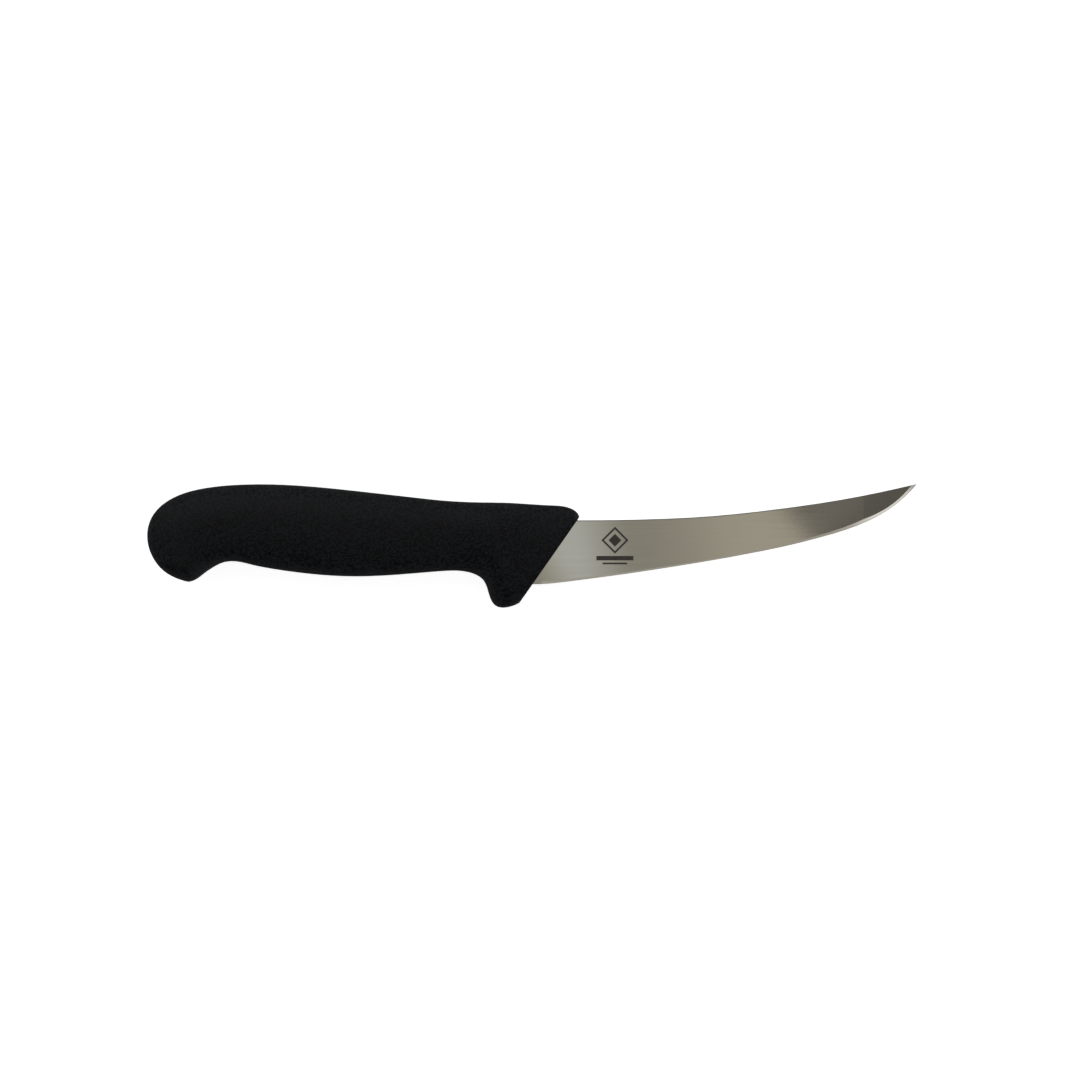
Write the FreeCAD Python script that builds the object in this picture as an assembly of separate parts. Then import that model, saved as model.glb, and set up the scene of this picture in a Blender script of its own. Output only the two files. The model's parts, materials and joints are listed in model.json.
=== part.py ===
"""Curved boning knife: a ground steel blade with its tang, a hard core moulded round it, and a soft grip.

Design frame, in millimetres: X runs forward along the blade from the heel of its edge, Y runs from the heel
towards the back, and Z comes out of the blade's side, from its middle plane. The knife lies on its side. At
the end every solid is moved by one vector, so that the origin is at the bottom centre of the whole knife.
"""

import FreeCAD, Part
import math
import os

from FreeCAD import Vector

# ---------------------------------------------------------------- driving dimensions
STOCK = 2.2  # thickness of the steel strip that the blade is cut from

# Blade outline, from the heel to the point.
EDGE_POINTS = [(-1.5, -0.3), (4.0, -0.2), (12.0, 0.65), (30.0, 3.0), (45.0, 5.25), (60.0, 7.7), (75.0, 10.45),
               (86.5, 12.85), (97.0, 15.5), (109.0, 19.2), (118.5, 23.6), (125.0, 28.3)]
TIP = (130.2, 33.8)
BEYOND_TIP = (134.0, 39.6)  # carries the edge's curve past the point, for the sharpening cut
BEYOND_SPINE = (134.0, 34.7)  # the same for the curve of the back
SPINE_POINTS = [(4.0, 21.4), (15.0, 21.4), (35.0, 21.65), (60.0, 22.8), (85.0, 25.5), (108.0, 29.05)]

# The blade's sides are flat planes, set by the full thickness at three places.
THICK_AT_BACK = ((15.0, 21.4), STOCK)
THICK_AT_HEEL = ((6.0, 0.0), 0.42)
THICK_AT_MID_EDGE = ((75.0, 10.45), 0.30)
TAPER_START = 112.0  # X where the sides begin to draw in towards the tip
TAPER_SLOPE = 0.0263  # of that drawing in, on each side
RUNOUT_SLOPE = 0.1  # how fast the ground sides run out to full thickness behind the handle's mouth
SHARPENING_ANGLE = 15.0  # of each sharpened face, from the middle plane, in degrees
SHARPENING_START = 2.6  # X where the sharpened edge begins, just ahead of the handle
APEX = 0.04  # width of the keen edge
BACK_CHAMFER = 0.3  # width taken off each corner of the blade's back

# Tang, inside the handle.
TANG_BACK_END = (-92.0, 23.2)
TANG_FRONT_END = (-92.0, 14.6)
TANG_SHOULDER = (-15.0, 10.6)
HEEL_CORNER = (-5.0, 0.0)
TANG_ROUND = 3.0
TANG_HOLES = [(-24.0, 16.3), (-50.0, 17.2), (-76.0, 18.2)]
TANG_HOLE_RADIUS = 2.75

# Grip outline. Each station is a chord across the grip, from its underside to its back. The first is the
# point of the hooked butt, and the last lies on the front face.
STATIONS = [
    ((-117.5, 0.5), (-117.5, 0.5)),
    ((-115.3, 1.2), (-121.2, 1.7)),
    ((-113.0, 2.9), (-125.4, 4.2)),
    ((-110.4, 4.75), (-128.8, 8.15)),
    ((-107.3, 6.5), (-130.9, 13.4)),
    ((-103.9, 7.45), (-130.8, 19.7)),
    ((-100.0, 7.3), (-127.7, 25.25)),
    ((-95.5, 6.25), (-121.3, 29.65)),
    ((-89.5, 5.05), (-111.5, 32.4)),
    ((-81.0, 3.8), (-96.0, 33.66)),
    ((-70.0, 2.7), (-78.0, 33.1)),
    ((-57.0, 2.4), (-59.0, 31.25)),
    ((-43.0, 3.2), (-42.0, 29.33)),
    ((-31.0, 4.17), (-27.0, 27.86)),
    ((-23.6, 4.04), (-16.0, 27.5)),
    ((-18.7, 2.38), (-8.0, 27.35)),
    ((-16.35, -0.4), (-1.0, 26.9)),
    ((-15.0, -4.6), (4.6, 26.57)),
    ((-13.2, -7.5), (9.0, 26.32)),
    ((-10.6, -8.27), (12.3, 25.65)),
    ((-7.9, -7.85), (14.3, 24.3)),
    ((-5.0, -6.65), (15.4, 22.5)),
]

# Half the grip's thickness, along X. It swells in the palm, is slim at the neck, and flares to a crest that
# stops the thumb. The crest leans forward towards the guard.
HALF_THICKNESS = [(-132.0, 10.1), (-118.0, 10.5), (-96.0, 11.1), (-74.0, 11.5), (-52.0, 10.4), (-34.0, 9.1),
                  (-24.0, 9.3), (-18.5, 10.6), (-14.5, 11.4), (-9.5, 10.8), (-3.0, 9.3), (3.0, 8.55),
                  (9.0, 8.3), (18.0, 8.2)]
CREST_LEAN = 0.18
CREST_HEIGHT = 15.0  # Y at which the thicknesses above apply
BUTT_REACH = 19.0  # chords shorter than this are thinned, so that the beak closes smoothly
SIDE_FLATNESS = 2.6  # superellipse exponent of a section: 2 is an ellipse, and more is flatter
FRONT_ROUND = 0.6  # rounding of the grip's front rim

# Core.
SKIN = 2.3  # depth of the soft grip over the core
GROOVE_DEPTH = 0.9  # further depth of the grip in the core's locking grooves
CORE_FROM, CORE_TO = 0.20, 0.86  # share of the grip's length that the core spans
RIBS_X = (-108.0, 2.0)
RIB_PITCH = 15.0
RIB_WIDTH = 10.0

GRIP_SECTIONS = 40
CUTTER_SECTIONS = 30
CORE_SECTIONS = 18
SIDE_POINTS = 14
FAR = 200.0  # larger than any cut needs


# ---------------------------------------------------------------- small helpers
def flat(point, z=0.0):
    return Vector(point[0], point[1], z)


def curve_through(points, parameters=None):
    """A smooth curve through the points. With parameters, its value at each of those is the point."""
    curve = Part.BSplineCurve()
    if parameters is None:
        curve.interpolate(Points=points)
    else:
        curve.interpolate(Points=points, Parameters=parameters)
    return curve


def mirrored(shape):
    """The shape's reflection in the blade's middle plane."""
    return shape.mirror(Vector(0, 0, 0), Vector(0, 0, 1))


def column_over(corners, low, height):
    """A solid over a convex polygon in plan, from z = low(x, y), which is a plane, up by height."""
    bottom = [Vector(x, y, low(x, y)) for x, y in corners]
    return Part.Face(Part.makePolygon(bottom + bottom[:1])).extrude(Vector(0, 0, height))


def solid_of(shell):
    solid = Part.makeSolid(shell)
    if solid.Volume < 0:
        solid.reverse()
    return solid


# ---------------------------------------------------------------- grip surface
def station_parameters():
    """Where each station lies along the grip, from 0 to 1, by the mean distance its two ends have moved."""
    reached = [0.0]
    for (low, high), (next_low, next_high) in zip(STATIONS, STATIONS[1:]):
        moved = math.dist(low, next_low) + math.dist(high, next_high)
        reached.append(reached[-1] + moved / 2)
    return [r / reached[-1] for r in reached]


PARAMETERS = station_parameters()
UNDERSIDE = curve_through([flat(low) for low, high in STATIONS], PARAMETERS)
BACK = curve_through([flat(high) for low, high in STATIONS], PARAMETERS)
THICKNESS = curve_through([flat(p) for p in HALF_THICKNESS], [x for x, half in HALF_THICKNESS])

MOUTH_LOW = flat(STATIONS[-1][0])
MOUTH_HIGH = flat(STATIONS[-1][1])
MOUTH_UP = (MOUTH_HIGH - MOUTH_LOW).normalize()
MOUTH_OUT = Vector(MOUTH_UP.y, -MOUTH_UP.x, 0)  # points forward, out of the grip's front face


def half_thickness(x, y):
    first, last = HALF_THICKNESS[0][0], HALF_THICKNESS[-1][0]
    along = x + CREST_LEAN * (y - CREST_HEIGHT)
    return THICKNESS.value(min(max(along, first), last)).y


def section(share, inset=0.0):
    """Points round the section at a share of the grip's length, from its back over one side and round again.

    The section is a superellipse whose plane holds the chord and the Z axis. It is drawn in by inset.
    """
    low, high = UNDERSIDE.value(share), BACK.value(share)
    chord = high - low
    closing = math.sin(math.pi / 2 * min(chord.Length / BUTT_REACH, 1.0))
    across = Vector(chord).normalize()
    low, high = low + across * inset, high - across * inset
    middle, half_chord = (low + high) / 2, (high - low) / 2
    one_side = []
    for k in range(1, SIDE_POINTS):
        turn = math.pi * k / SIDE_POINTS
        along, out = math.cos(turn), math.sin(turn)
        reach = (abs(along) ** SIDE_FLATNESS + out ** SIDE_FLATNESS) ** (-1 / SIDE_FLATNESS)
        point = middle + half_chord * along * reach
        thick = half_thickness(point.x, point.y) * closing - inset
        point.z = -thick * out * reach
        one_side.append(point)
    other_side = [Vector(p.x, p.y, -p.z) for p in reversed(one_side)]
    return [high] + one_side + [low] + other_side


def surface_through(sections, shares):
    """A smooth closed surface through all the sections. A first section with a single point is a pole."""
    count = 2 * SIDE_POINTS
    round_it = [k / count for k in range(count + 1)]
    rings = []
    for points in sections:
        if len(points) > 1:
            ring = Part.BSplineCurve()
            ring.interpolate(Points=points, PeriodicFlag=True, Parameters=round_it)
            rings.append(ring.getPoles())
    if len(sections[0]) == 1:
        rings.insert(0, sections[0] * ring.NbPoles)
    columns = []
    for points in zip(*rings):
        column = curve_through(list(points), shares)
        columns.append(column.getPoles())
    poles = [list(row) for row in zip(*columns)]
    surface = Part.BSplineSurface()
    surface.buildFromPolesMultsKnots(poles, column.getMultiplicities(), ring.getMultiplicities(),
                                     column.getKnots(), ring.getKnots(), False, True, 3, 3)
    return surface


def solid_through(sections, shares):
    """The solid inside that surface, with a flat face at each end that isn't a pole."""
    surface = surface_through(sections, shares)
    ends = shares[-1:] if len(sections[0]) == 1 else [shares[0], shares[-1]]
    caps = [Part.Face(Part.Wire([surface.uIso(share).toShape()])) for share in ends]
    shell = Part.makeShell([surface.toShape()] + caps)
    shell.sewShape()
    return solid_of(shell)


def make_outer_form():
    """The grip's outside, from a point at the beak to the flat front face."""
    shares = [k / GRIP_SECTIONS for k in range(GRIP_SECTIONS + 1)]
    beak = [flat(STATIONS[0][0])]
    return solid_through([beak] + [section(share) for share in shares[1:]], shares)


def make_core_form(inset):
    reach = CORE_TO - CORE_FROM
    shares = [CORE_FROM + reach * k / CORE_SECTIONS for k in range(CORE_SECTIONS + 1)]
    return solid_through([section(share, inset) for share in shares], shares)


def front_rim(form):
    """The edge round the flat front face."""
    front = min(form.Faces, key=lambda face: abs((face.CenterOfMass - MOUTH_LOW).dot(MOUTH_OUT)))
    return front.Edges


# ---------------------------------------------------------------- blade
EDGE = curve_through([flat(p) for p in EDGE_POINTS + [TIP, BEYOND_TIP]])
SPINE = curve_through([flat(p) for p in SPINE_POINTS + [TIP, BEYOND_SPINE]])


def side_height():
    """The function z(x, y) of the blade's ground side, from the three driving thicknesses."""
    (a, ta), (b, tb), (c, tc) = THICK_AT_BACK, THICK_AT_HEEL, THICK_AT_MID_EDGE
    corner, one, two = Vector(*a, ta / 2), Vector(*b, tb / 2), Vector(*c, tc / 2)
    normal = (one - corner).cross(two - corner)

    def height(x, y):
        return corner.z - (normal.x * (x - corner.x) + normal.y * (y - corner.y)) / normal.z

    return height


def make_blank():
    """The flat blank of blade and tang, cut from strip."""
    heel, tip = flat(EDGE_POINTS[0]), flat(TIP)
    edge_part = EDGE.toShape(EDGE.parameter(heel), EDGE.parameter(tip))
    spine_part = SPINE.toShape(SPINE.FirstParameter, SPINE.parameter(tip))
    tang = [heel, flat(HEEL_CORNER), flat(TANG_SHOULDER), flat(TANG_FRONT_END), flat(TANG_BACK_END),
            flat(SPINE_POINTS[0])]
    sides = [Part.LineSegment(a, b).toShape() for a, b in zip(tang, tang[1:])]
    outline = Part.Wire(Part.__sortEdges__([edge_part] + sides + [spine_part]))
    blank = Part.Face(outline).extrude(Vector(0, 0, STOCK))
    blank.translate(Vector(0, 0, -STOCK / 2))
    rounded = [e for e in blank.Edges for corner in tang[1:5]
               if len(e.Vertexes) == 2 and all(math.dist(v.Point[:2], corner[:2]) < 1e-4 for v in e.Vertexes)]
    return blank.makeFillet(TANG_ROUND, rounded)


def side_cutters(height):
    """What grinding takes off one side: a plane ahead of the handle's mouth, its run-out, and the tip's taper."""
    low, high = MOUTH_LOW - MOUTH_UP * FAR, MOUTH_HIGH + MOUTH_UP * FAR
    forward, backward = MOUTH_OUT * (TIP[0] + FAR), MOUTH_OUT * -(STOCK / 2 / RUNOUT_SLOPE + 2)

    def runout(x, y):
        behind = (MOUTH_LOW - Vector(x, y, 0)).dot(MOUTH_OUT)
        return height(x, y) + RUNOUT_SLOPE * behind

    def taper(x, y):
        return height(x, y) - TAPER_SLOPE * (x - TAPER_START)

    ahead = [(p.x, p.y) for p in (low, low + forward, high + forward, high)]
    behind = [(p.x, p.y) for p in (low, high, high + backward, low + backward)]
    tip = [(TAPER_START, 0.0), (TIP[0] + 10, 0.0), (TIP[0] + 10, 50.0), (TAPER_START, 50.0)]
    return [column_over(ahead, height, FAR), column_over(behind, runout, FAR), column_over(tip, taper, FAR)]


def swept_cutter(curve, start, turn, corners):
    """A solid along a curve, from the curve's point nearest to start up to its end.

    Its section has the corners that corners(point) gives, each as a distance into the blade and a height z.
    The blade's inside is to the left of the curve if turn is 1 and to its right if turn is -1.
    """
    first = curve.parameter(flat(start))
    rings = []
    for k in range(CUTTER_SECTIONS + 1):
        at = first + (curve.LastParameter - first) * k / CUTTER_SECTIONS
        point, along = curve.value(at), curve.tangent(at)[0]
        inward = Vector(-along.y, along.x, 0) * turn
        ring = [point + inward * across + Vector(0, 0, z) for across, z in corners(point)]
        rings.append(Part.makePolygon(ring + ring[:1]))
    return Part.makeLoft(rings, True)


def sharpening_cutter():
    """What sharpening takes off one side: all that lies outside a face of constant angle along the edge."""
    slope = math.tan(math.radians(SHARPENING_ANGLE))
    inside, outside = 4.0, -2.0
    low, high = APEX / 2 + outside * slope, APEX / 2 + inside * slope
    corners = [(outside, low), (inside, high), (outside, high)]
    return swept_cutter(EDGE, (SHARPENING_START, -0.25), 1, lambda point: corners)


def back_cutter(height):
    """What breaking the back's sharp corner takes off one side."""
    clear = 1.0

    def corners(point):
        side = min(height(point.x, point.y), STOCK / 2)
        low, high = side - BACK_CHAMFER - clear, side + clear
        return [(-clear, low), (BACK_CHAMFER + clear, high), (-clear, high)]

    return swept_cutter(SPINE, (8.0, 21.4), -1, corners)


def cut_both_sides(blade, cutter):
    return blade.cut(cutter).cut(mirrored(cutter))


def make_blade():
    height = side_height()
    blade = make_blank()
    for place in TANG_HOLES:
        blade = blade.cut(Part.makeCylinder(TANG_HOLE_RADIUS, STOCK, flat(place, -STOCK / 2)))
    for cutter in side_cutters(height) + [back_cutter(height), sharpening_cutter()]:
        blade = cut_both_sides(blade, cutter)
    return blade.Solids[0]


# ---------------------------------------------------------------- handle
def make_core(blade):
    """A hard moulding round the tang, with raised ribs that lock the grip. It fills the tang's holes."""
    full = make_core_form(SKIN)
    waist = make_core_form(SKIN + GROOVE_DEPTH)
    first, last = RIBS_X
    count = int((last - first) / RIB_PITCH) + 1
    slabs = [Part.makeBox(RIB_WIDTH, FAR, FAR, Vector(first + k * RIB_PITCH, -FAR / 3, -FAR / 2))
             for k in range(count)]
    ribs = [full.common(slab) for slab in slabs]
    return waist.fuse(ribs).cut(blade).removeSplitter().Solids[0]


def make_grip(core, blade):
    outer = make_outer_form()
    outer = outer.makeFillet(FRONT_ROUND, front_rim(outer))
    return outer.cut([core, blade]).Solids[0]


def main():
    blade = make_blade()
    core = make_core(blade)
    grip = make_grip(core, blade)
    parts = {"blade": blade, "handle_core": core, "soft_grip": grip}
    box = Part.makeCompound(list(parts.values())).optimalBoundingBox(False, False)
    move = Vector(-(box.XMin + box.XMax) / 2, -(box.YMin + box.YMax) / 2, -box.ZMin)
    os.makedirs("parts", exist_ok=True)
    for name, shape in parts.items():
        placed = shape.copy()
        placed.translate(move)
        placed.exportStep(f"parts/{name}.step")
        print(name, len(shape.Solids), shape.isValid(), round(shape.Volume), "mm3")
    print("moved by", move, "size", box.XLength, box.YLength, box.ZLength)


main()
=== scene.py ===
import json
import math

import bmesh
import bpy
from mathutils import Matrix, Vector


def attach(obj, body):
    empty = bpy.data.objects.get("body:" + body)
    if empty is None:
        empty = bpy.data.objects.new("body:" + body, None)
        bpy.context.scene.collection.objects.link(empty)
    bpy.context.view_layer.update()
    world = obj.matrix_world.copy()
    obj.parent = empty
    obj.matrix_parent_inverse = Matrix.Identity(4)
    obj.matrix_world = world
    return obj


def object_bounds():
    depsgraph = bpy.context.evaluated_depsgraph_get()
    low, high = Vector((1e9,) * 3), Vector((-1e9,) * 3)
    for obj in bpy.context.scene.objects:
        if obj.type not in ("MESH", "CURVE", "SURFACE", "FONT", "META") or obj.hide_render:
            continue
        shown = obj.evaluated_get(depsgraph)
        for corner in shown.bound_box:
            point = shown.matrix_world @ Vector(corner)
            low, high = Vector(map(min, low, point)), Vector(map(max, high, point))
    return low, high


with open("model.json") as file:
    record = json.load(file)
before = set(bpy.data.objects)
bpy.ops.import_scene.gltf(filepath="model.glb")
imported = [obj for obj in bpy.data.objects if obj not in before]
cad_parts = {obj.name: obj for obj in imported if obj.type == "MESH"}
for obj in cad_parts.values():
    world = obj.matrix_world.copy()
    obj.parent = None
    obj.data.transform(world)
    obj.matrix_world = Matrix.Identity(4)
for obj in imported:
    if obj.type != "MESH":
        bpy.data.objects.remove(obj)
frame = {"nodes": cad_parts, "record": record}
cad_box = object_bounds()
nodes = frame["nodes"]
blade, core, grip = nodes["blade"], nodes["handle_core"], nodes["soft_grip"]

# The camera looks straight down on the knife, which lies on its side.
CAMERA_HEIGHT = 0.75
VIEW_CENTRE = (0.00254, 0.00197)
VIEW_WIDTH = 0.3672  # what the picture's width shows in the knife's middle plane
MIDDLE_PLANE = (cad_box[0].z + cad_box[1].z) / 2
SENSOR_WIDTH = 36.0


# ---------------------------------------------------------------- node helpers
class Tree:
    """Short calls for building a node tree."""

    def __init__(self, tree):
        self.tree = tree
        tree.nodes.clear()

    def add(self, kind, **settings):
        node = self.tree.nodes.new(kind)
        for name, value in settings.items():
            setattr(node, name, value)
        return node

    def feed(self, node, **inputs):
        """Sets or links inputs by name, with _ for a space, or by number as _0, _1 and so on."""
        for name, value in inputs.items():
            socket = node.inputs[int(name[1:])] if name[0] == "_" else node.inputs[name.replace("_", " ")]
            if isinstance(value, bpy.types.NodeSocket):
                self.tree.links.new(value, socket)
            else:
                socket.default_value = value
        return node

    def math(self, operation, a, b=0.0):
        node = self.add("ShaderNodeMath", operation=operation)
        return self.feed(node, _0=a, _1=b).outputs[0]

    def noise(self, vector, scale, detail=2.0, roughness=0.5):
        node = self.add("ShaderNodeTexNoise")
        return self.feed(node, Vector=vector, Scale=scale, Detail=detail, Roughness=roughness).outputs["Fac"]

    def ramp(self, factor, stops):
        """Colours, or greys given as one number, at places from 0 to 1."""
        node = self.add("ShaderNodeValToRGB")
        ramp = node.color_ramp
        while len(ramp.elements) < len(stops):
            ramp.elements.new(1.0)
        for element, (place, colour) in zip(ramp.elements, stops):
            element.position = place
            element.color = (*colour, 1.0) if isinstance(colour, tuple) else (colour, colour, colour, 1.0)
        return self.feed(node, Fac=factor).outputs["Color"]

    def range(self, value, low, high, to_low, to_high):
        """Maps low..high to to_low..to_high, and holds the end values beyond."""
        node = self.add("ShaderNodeMapRange", clamp=True)
        return self.feed(node, Value=value, _1=low, _2=high, _3=to_low, _4=to_high).outputs[0]

    def stretched(self, vector, scale):
        node = self.add("ShaderNodeMapping")
        return self.feed(node, Vector=vector, Scale=scale).outputs[0]


def new_material(name):
    material = bpy.data.materials.new(name)
    material.use_nodes = True
    tree = Tree(material.node_tree)
    shader = tree.add("ShaderNodeBsdfPrincipled")
    output = tree.add("ShaderNodeOutputMaterial")
    tree.feed(output, Surface=shader.outputs[0])
    place = tree.add("ShaderNodeTexCoord").outputs["Object"]
    return material, tree, shader, place


def use_material(piece, material):
    piece.data.materials.clear()
    piece.data.materials.append(material)


# ---------------------------------------------------------------- materials
def steel():
    """Fine ground steel: grinding lines run along the blade, and the sharpened faces are rougher."""
    material, tree, shader, place = new_material("ground_steel")
    fine = tree.noise(tree.stretched(place, (60.0, 5200.0, 5200.0)), scale=1.0, detail=3.0)
    broad = tree.noise(tree.stretched(place, (14.0, 900.0, 900.0)), scale=1.0, detail=2.0)
    cloud = tree.noise(place, scale=35.0, detail=3.0)
    normal = tree.add("ShaderNodeNewGeometry").outputs["True Normal"]
    upright = tree.add("ShaderNodeSeparateXYZ")
    tree.feed(upright, Vector=normal)
    facing = tree.math("ABSOLUTE", upright.outputs["Z"])
    keen = tree.range(facing, 0.985, 0.975, 0.0, 1.0)  # 1 on steep faces, such as the sharpened ones
    streaks = tree.range(fine, 0.3, 0.7, -0.02, 0.02)
    patches = tree.range(cloud, 0.3, 0.7, -0.012, 0.012)
    middle_tone = 0.5
    tone = tree.math("ADD", tree.math("ADD", streaks, patches), middle_tone)
    colour = tree.ramp(tone, [(0.4, (0.535, 0.512, 0.462)), (0.6, (0.655, 0.63, 0.575))])
    tree.feed(shader, Base_Color=colour, Metallic=1.0)
    lines = tree.range(broad, 0.3, 0.7, -0.008, 0.008)
    rough = tree.math("ADD", tree.range(fine, 0.3, 0.7, 0.035, 0.06), lines)
    rough = tree.math("ADD", rough, tree.math("MULTIPLY", keen, 0.1))
    tree.feed(shader, Roughness=rough)
    bump = tree.add("ShaderNodeBump")
    tree.feed(bump, Strength=0.04, Distance=0.00002, Height=fine)
    tree.feed(shader, Normal=bump.outputs[0])
    return material


def soft_black():
    """Matte black elastomer with the fine grain of a spark-eroded mould."""
    material, tree, shader, place = new_material("soft_black")
    grain = tree.noise(place, scale=1500.0, detail=0.0, roughness=0.6)
    cloud = tree.noise(place, scale=90.0, detail=4.0, roughness=0.6)
    tone = tree.math("ADD", tree.math("MULTIPLY", grain, 0.95), tree.math("MULTIPLY", cloud, 0.05))
    colour = tree.ramp(tone, [(0.42, (0.0, 0.0, 0.0001)), (0.58, (0.0086, 0.0103, 0.0130))])
    tree.feed(shader, Base_Color=colour, Roughness=tree.range(tone, 0.35, 0.65, 0.5, 0.66))
    tree.feed(shader, Specular_IOR_Level=0.24)
    bump = tree.add("ShaderNodeBump")
    tree.feed(bump, Strength=0.8, Distance=0.0001, Height=grain)
    tree.feed(shader, Normal=bump.outputs[0])
    return material


def hard_black():
    """The hard plastic inside, with faint flow marks."""
    material, tree, shader, place = new_material("hard_black")
    flow = tree.noise(tree.stretched(place, (40.0, 260.0, 260.0)), scale=1.0, detail=3.0)
    colour = tree.ramp(flow, [(0.3, (0.018, 0.018, 0.019)), (0.7, (0.03, 0.03, 0.032))])
    tree.feed(shader, Base_Color=colour, Roughness=tree.range(flow, 0.3, 0.7, 0.42, 0.55))
    return material


def etched_dark():
    """The dark oxide of a laser mark on steel."""
    material, tree, shader, place = new_material("etched_dark")
    patch = tree.noise(place, scale=1800.0, detail=3.0)
    colour = tree.ramp(patch, [(0.3, (0.073, 0.067, 0.062)), (0.7, (0.100, 0.092, 0.085))])
    tree.feed(shader, Base_Color=colour, Roughness=tree.range(patch, 0.3, 0.7, 0.55, 0.7))
    tree.feed(shader, Specular_IOR_Level=0.15)
    return material


def white_floor():
    """White with a glow of its own, so that it stays even and clear."""
    material, tree, shader, _ = new_material("white_floor")
    tree.feed(shader, Base_Color=(0.8, 0.8, 0.8, 1.0), Roughness=0.9)
    tree.feed(shader, Emission_Color=(1.0, 1.0, 1.0, 1.0), Emission_Strength=0.85)
    return material


# ---------------------------------------------------------------- the CAD pieces
use_material(blade, steel())
use_material(core, hard_black())
use_material(grip, soft_black())


# ---------------------------------------------------------------- the etched mark
UPPER_SIDE = frame["record"]["mounts"][0]  # blade_side_upper
SIDE_NORMAL = Vector(UPPER_SIDE["axis"])
SIDE_POINT = Vector(UPPER_SIDE["pos_m"])
MARK_CENTRE = (0.0280, -0.0002)
MARK_FOOT, MARK_TOP = 0.000002, 0.00001  # how far the plates' two faces lie above the side


def on_side(x, y, lift):
    """The point over (x, y) that is lift above the blade's upper side."""
    flat = Vector((x, y, 0.0)) - SIDE_POINT
    z = SIDE_POINT.z - (flat.x * SIDE_NORMAL.x + flat.y * SIDE_NORMAL.y) / SIDE_NORMAL.z
    return Vector((x, y, z)) + SIDE_NORMAL * lift


def add_plate(mesh, outline, hole=None):
    """A thin plate on the blade's side: a convex outline, or a frame between an outline and a hole."""
    cx, cy = MARK_CENTRE
    rings = [outline] if hole is None else [outline, hole]
    low = [[mesh.verts.new(on_side(cx + x, cy + y, MARK_FOOT)) for x, y in ring] for ring in rings]
    high = [[mesh.verts.new(on_side(cx + x, cy + y, MARK_TOP)) for x, y in ring] for ring in rings]
    count = len(outline)
    if hole is None:
        mesh.faces.new(high[0])
        mesh.faces.new(list(reversed(low[0])))
    for i in range(count):
        j = (i + 1) % count
        mesh.faces.new([low[0][i], low[0][j], high[0][j], high[0][i]])
        if hole is not None:
            mesh.faces.new([high[0][i], high[0][j], high[1][j], high[1][i]])
            mesh.faces.new([low[0][j], low[0][i], low[1][i], low[1][j]])
            mesh.faces.new([low[1][j], low[1][i], high[1][i], high[1][j]])


def make_mark():
    """A plain geometric mark: a framed diamond over two bars."""
    mm = 0.001

    def diamond(half, y):
        corners = [(half, 0), (0, half), (-half, 0), (0, -half)]
        return [(a * mm, (b + y) * mm) for a, b in corners]

    def bar(half_width, half_height, y):
        corners = [(half_width, -half_height), (half_width, half_height),
                   (-half_width, half_height), (-half_width, -half_height)]
        return [(a * mm, (b + y) * mm) for a, b in corners]

    mesh = bmesh.new()
    diamond_y = 2.1
    add_plate(mesh, diamond(4.6, diamond_y), diamond(3.7, diamond_y))
    add_plate(mesh, diamond(2.2, diamond_y))
    add_plate(mesh, bar(6.3, 0.75, -4.0))
    add_plate(mesh, bar(4.2, 0.3, -5.8))
    data = bpy.data.meshes.new("etched_mark")
    mesh.to_mesh(data)
    mesh.free()
    mark = bpy.data.objects.new("etched_mark", data)
    bpy.context.scene.collection.objects.link(mark)
    use_material(mark, etched_dark())
    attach(mark, "root")


make_mark()


# ---------------------------------------------------------------- floor, light and camera
def make_floor():
    """A pale floor that curves up into a low wall all round. Reflections don't see it."""
    flat, bend, wall_top = 2.4, 0.8, 1.0
    bend_steps, turns = 8, 64
    profile = [(0.0, 0.0), (flat, 0.0)]
    for k in range(1, bend_steps + 1):
        a = math.pi / 2 * k / bend_steps
        profile.append((flat + bend * math.sin(a), bend - bend * math.cos(a)))
    profile.append((flat + bend, wall_top))
    mesh = bmesh.new()
    rings = []
    for radius, height in profile:
        angles = [2 * math.pi * k / turns for k in range(turns if radius else 1)]
        rings.append([mesh.verts.new((radius * math.cos(a), radius * math.sin(a), height)) for a in angles])
    for inner, outer in zip(rings, rings[1:]):
        for k in range(turns):
            n = (k + 1) % turns
            if len(inner) == 1:
                mesh.faces.new([inner[0], outer[k], outer[n]])
            else:
                mesh.faces.new([inner[k], outer[k], outer[n], inner[n]])
    data = bpy.data.meshes.new("floor")
    mesh.to_mesh(data)
    mesh.free()
    for polygon in data.polygons:
        polygon.use_smooth = True
    floor = bpy.data.objects.new("floor", data)
    bpy.context.scene.collection.objects.link(floor)
    floor.visible_glossy = False
    use_material(floor, white_floor())


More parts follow.
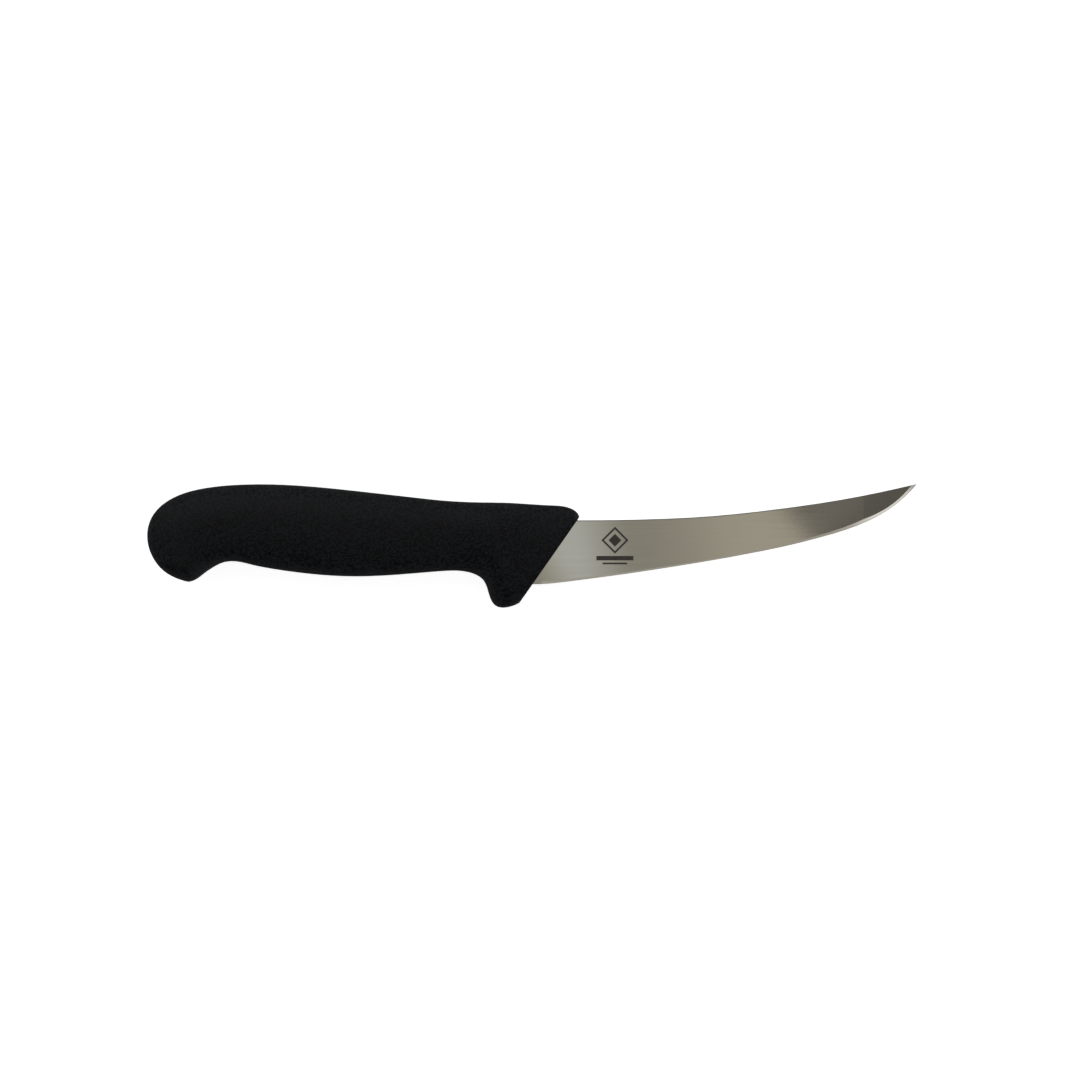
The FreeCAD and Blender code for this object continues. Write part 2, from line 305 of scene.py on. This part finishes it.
def make_world():
    """A soft studio with dim walls. Overhead hang slanting bands of light, which the ground blade mirrors.

    A direction is placed on the ceiling by how far it goes across and along for each step up. The bands'
    places and tones are set so that the blade shows the light and dark stretches of the photo.
    """
    lowest = 0.05  # keeps the division sound at the horizon and below it
    side_tilt = 0.09  # undoes the lean of the blade's side, so that 0 is what its middle mirrors
    full = 1.0
    world = bpy.data.worlds.new("studio")
    bpy.context.scene.world = world
    world.use_nodes = True
    tree = Tree(world.node_tree)
    way = tree.add("ShaderNodeSeparateXYZ")
    tree.feed(way, Vector=tree.add("ShaderNodeTexCoord").outputs["Generated"])
    x, y, z = way.outputs
    up = tree.math("MAXIMUM", z, lowest)
    across = tree.math("DIVIDE", x, up)
    along = tree.math("ADD", tree.math("DIVIDE", y, up), side_tilt)

    def bands(slant, low, high, stops):
        """Stripes of light: stops run from low to high, across the ceiling at the slant."""
        place = tree.math("ADD", across, tree.math("MULTIPLY", along, slant))
        return tree.ramp(tree.range(place, low, high, 0.0, 1.0), stops)

    def layered(kind, amount, one, two):
        mix = tree.add("ShaderNodeMix", data_type="RGBA", blend_type=kind)
        return tree.feed(mix, _0=amount, _6=one, _7=two).outputs[2]

    # the main tones from the handle's mouth to the belly
    near = bands(0.15, 0.0, 0.25, [
        (0.0, (0.60, 0.62, 0.61)), (0.13, (0.63, 0.66, 0.65)), (0.175, (0.50, 0.50, 0.465)),
        (0.215, (0.345, 0.335, 0.298)), (0.28, (0.365, 0.352, 0.306)), (0.34, (0.42, 0.40, 0.345)),
        (0.41, (0.50, 0.478, 0.41)), (0.48, (0.53, 0.505, 0.43)),
    ])
    # the step down to the dark stretch before the tip
    middle = bands(0.85, 0.1215, 0.1615, [
        (0.37, (1.0, 1.0, 1.0)), (0.56, (0.45, 0.45, 0.465)), (0.7, (0.405, 0.405, 0.43))])
    # the tip, whose thinned faces also lean forwards
    far = bands(-1.0, 0.14, 0.22, [
        (0.056, 1.0), (0.11, 0.75), (0.74, 0.97), (0.8, 0.84), (0.875, 0.75), (1.0, 0.95)])
    # the shade beside the handle's front face
    heel = bands(0.65, 0.0, 0.02, [
        (0.09, (0.5, 0.47, 0.43)), (0.35, (0.72, 0.67, 0.60)),
        (0.62, (0.8, 0.74, 0.65)), (0.85, (1.0, 1.0, 1.0))])
    ceiling = near
    for band in (heel, middle, far):
        ceiling = layered("MULTIPLY", full, ceiling, band)

    # the walls, with a soft lamp high up on the side of the knife's back
    behind = tree.range(y, -0.2, 0.8, 0.03, 0.1)
    lamp = tree.math("MULTIPLY", tree.range(y, 0.0, 0.3, 0.0, 0.45), tree.range(z, 0.6, 0.8, 0.0, 1.0))
    behind = tree.math("ADD", behind, lamp)
    left = tree.range(x, 0.3, -0.8, 0.0, 0.08)
    right = tree.math("MULTIPLY", tree.range(z, 0.6, 0.15, 0.0, 1.0), tree.range(x, 0.25, 0.65, 0.03, 0.35))
    walls = tree.math("ADD", tree.math("ADD", behind, left), right)

    # a low bank of light in front, which the sharpened faces mirror
    bank = tree.math("MULTIPLY", tree.range(y, -0.26, -0.3, 0.0, 1.0), tree.range(z, 0.74, 0.77, 0.0, 1.0))
    bank = tree.math("MULTIPLY", bank, tree.range(z, 0.93, 0.91, 0.0, 1.0))
    bank = tree.math("MULTIPLY", bank, tree.range(x, -0.2, -0.1, 0.0, 1.0))
    shade = tree.ramp(tree.range(x, 0.0, 0.6, 0.0, 1.0), [
        (0.0, (0.56, 0.56, 0.53)), (0.4, (0.50, 0.48, 0.43)),
        (0.52, (0.52, 0.5, 0.46)), (0.58, (1.2, 1.2, 1.2))])

    lower = layered("MIX", bank, walls, shade)
    overhead = tree.range(z, 0.95, 0.98, 0.0, 1.0)
    room = layered("MIX", overhead, lower, ceiling)
    background = tree.add("ShaderNodeBackground")
    tree.feed(background, Color=room, Strength=1.0)
    tree.feed(tree.add("ShaderNodeOutputWorld"), Surface=background.outputs[0])


def add_area(name, place, target, size, power):
    data = bpy.data.lights.new(name, "AREA")
    data.shape = "RECTANGLE"
    data.size, data.size_y = size
    data.energy = power
    light = bpy.data.objects.new(name, data)
    bpy.context.scene.collection.objects.link(light)
    light.location = place
    light.rotation_euler = (Vector(target) - Vector(place)).to_track_quat("-Z", "Y").to_euler()


def make_camera():
    data = bpy.data.cameras.new("camera")
    data.sensor_width = SENSOR_WIDTH
    data.lens = SENSOR_WIDTH * (CAMERA_HEIGHT - MIDDLE_PLANE) / VIEW_WIDTH
    camera = bpy.data.objects.new("camera", data)
    bpy.context.scene.collection.objects.link(camera)
    camera.location = (*VIEW_CENTRE, CAMERA_HEIGHT)
    bpy.context.scene.camera = camera


make_floor()
make_world()
add_area("key", place=(-0.5, 1.05, 0.8), target=(-0.03, 0.0, 0.01), size=(2.2, 1.4), power=4.0)
make_camera()

bpy.context.scene.view_settings.view_transform = "Standard"
